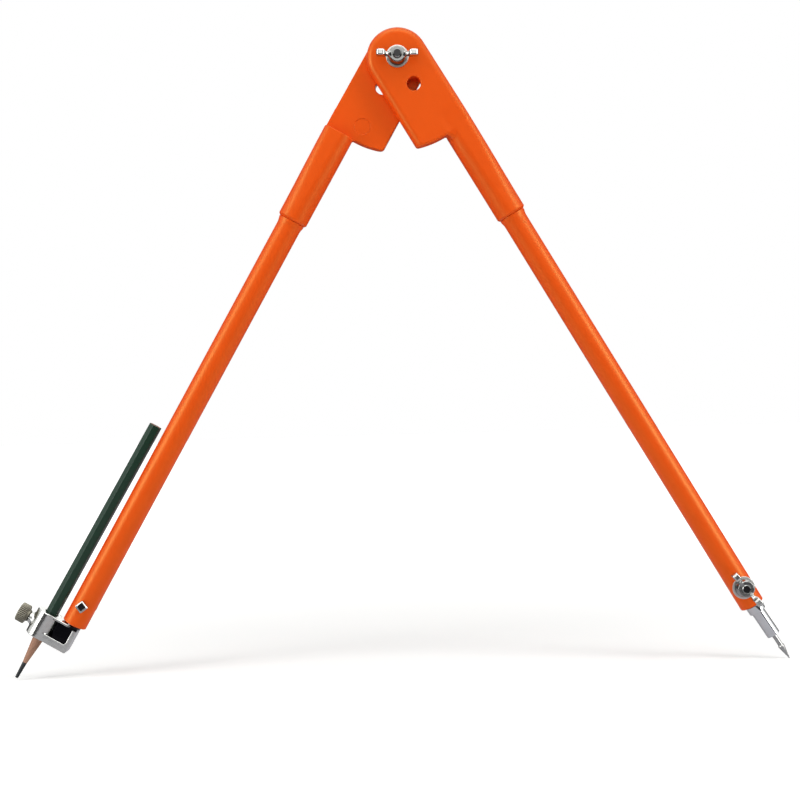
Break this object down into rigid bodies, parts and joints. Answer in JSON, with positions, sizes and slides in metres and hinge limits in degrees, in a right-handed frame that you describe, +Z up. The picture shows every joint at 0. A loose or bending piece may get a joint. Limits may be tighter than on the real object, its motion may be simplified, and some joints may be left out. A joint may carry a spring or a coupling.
{
  "type": "pencil compass",
  "caption": "Folding pencil compass: tubular legs on a half-lap hinge, a needle point on one leg and a clamped pencil on the other, each held by a wing nut.",
  "frame": {"origin": "on the hinge axis, midway between the two hinge plates, where a hand holds the tool", "axes": "+Z up, out of the hinge away from the tips, when the legs stand evenly open; +X towards the needle leg; -Y is the front, the side of the hinge's wing nut"},
  "size_m": [0.4697, 0.0431, 0.3878],
  "materials": {
    "arm_plastic": "moulded orange plastic, semi-gloss",
    "tube_plastic": "extruded orange plastic, semi-gloss",
    "bolt_steel": "nickel-plated bolt, semi-bright",
    "washer_steel": "bright nickel-plated washer",
    "wing_nut_zinc": "nickel-plated die casting, bright",
    "holder_chrome": "turned and chrome-plated",
    "needle_steel": "ground steel",
    "clamp_casting": "nickel-plated die casting",
    "stud_steel": "plain thread",
    "knob_steel": "knurled, dull nickel",
    "pencil_paint": "dark green lacquer, bare wood at the point",
    "pencil_graphite": "graphite, soft sheen"
  },
  "bodies": {
    "needle_arm": {"needle_arm_head": "arm_plastic", "needle_leg_tube": "tube_plastic", "hinge_bolt": "bolt_steel", "hinge_front_washer": "washer_steel", "hinge_rear_washer": "washer_steel", "needle_clamp_bolt": "bolt_steel", "needle_clamp_washer": "washer_steel"},
    "pencil_arm": {"pencil_arm_head": "arm_plastic", "pencil_leg_tube": "tube_plastic", "pencil_clamp_bolt": "bolt_steel", "pencil_clamp_washer": "washer_steel"},
    "hinge_nut": {"hinge_wing_nut": "wing_nut_zinc"},
    "needle_clamp_nut": {"needle_clamp_wing_nut": "wing_nut_zinc"},
    "pencil_clamp_nut": {"pencil_clamp_wing_nut": "wing_nut_zinc"},
    "needle_tip": {"needle_holder": "holder_chrome", "needle_point": "needle_steel"},
    "pencil_clamp": {"pencil_holder": "clamp_casting"},
    "thumb_screw": {"thumb_screw_stud": "stud_steel", "thumb_screw_knob": "knob_steel"},
    "pencil": {"pencil_casing": "pencil_paint", "pencil_lead": "pencil_graphite"}
  },
  "joints": [
    {"name": "leg_hinge", "type": "hinge", "parent": "needle_arm", "child": "pencil_arm", "pos_m": [0, 0, 0], "axis": [0, 1, 0], "range_deg": [-59.5, 120]},
    {"name": "hinge_nut_turn", "type": "hinge", "parent": "needle_arm", "child": "hinge_nut", "pos_m": [0, 0, 0], "axis": [0, 1, 0], "continuous": true},
    {"name": "needle_nut_turn", "type": "hinge", "parent": "needle_arm", "child": "needle_clamp_nut", "pos_m": [0.19887, 0, -0.32466], "axis": [0, 1, 0], "continuous": true},
    {"name": "pencil_nut_turn", "type": "hinge", "parent": "pencil_arm", "child": "pencil_clamp_nut", "pos_m": [-0.19887, 0, -0.32466], "axis": [0, 1, 0], "continuous": true},
    {"name": "needle_lean", "type": "hinge", "parent": "needle_arm", "child": "needle_tip", "pos_m": [0.19887, 0, -0.32466], "axis": [0, -1, 0], "range_deg": [-5.5, 0.5]},
    {"name": "pencil_lean", "type": "hinge", "parent": "pencil_arm", "child": "pencil_clamp", "pos_m": [-0.19887, 0, -0.32466], "axis": [0, 1, 0], "range_deg": [-3.4, 0.4]},
    {"name": "thumb_screw_turn", "type": "hinge", "parent": "pencil_clamp", "child": "thumb_screw", "pos_m": [-0.2101, 0, -0.34364], "axis": [-0.8607, 0, 0.509], "continuous": true},
    {"name": "pencil_slide", "type": "slide", "parent": "pencil_clamp", "child": "pencil", "axis": [0.509, 0, 0.8607], "range_m": [-0.02, 0.025]}
  ]
}
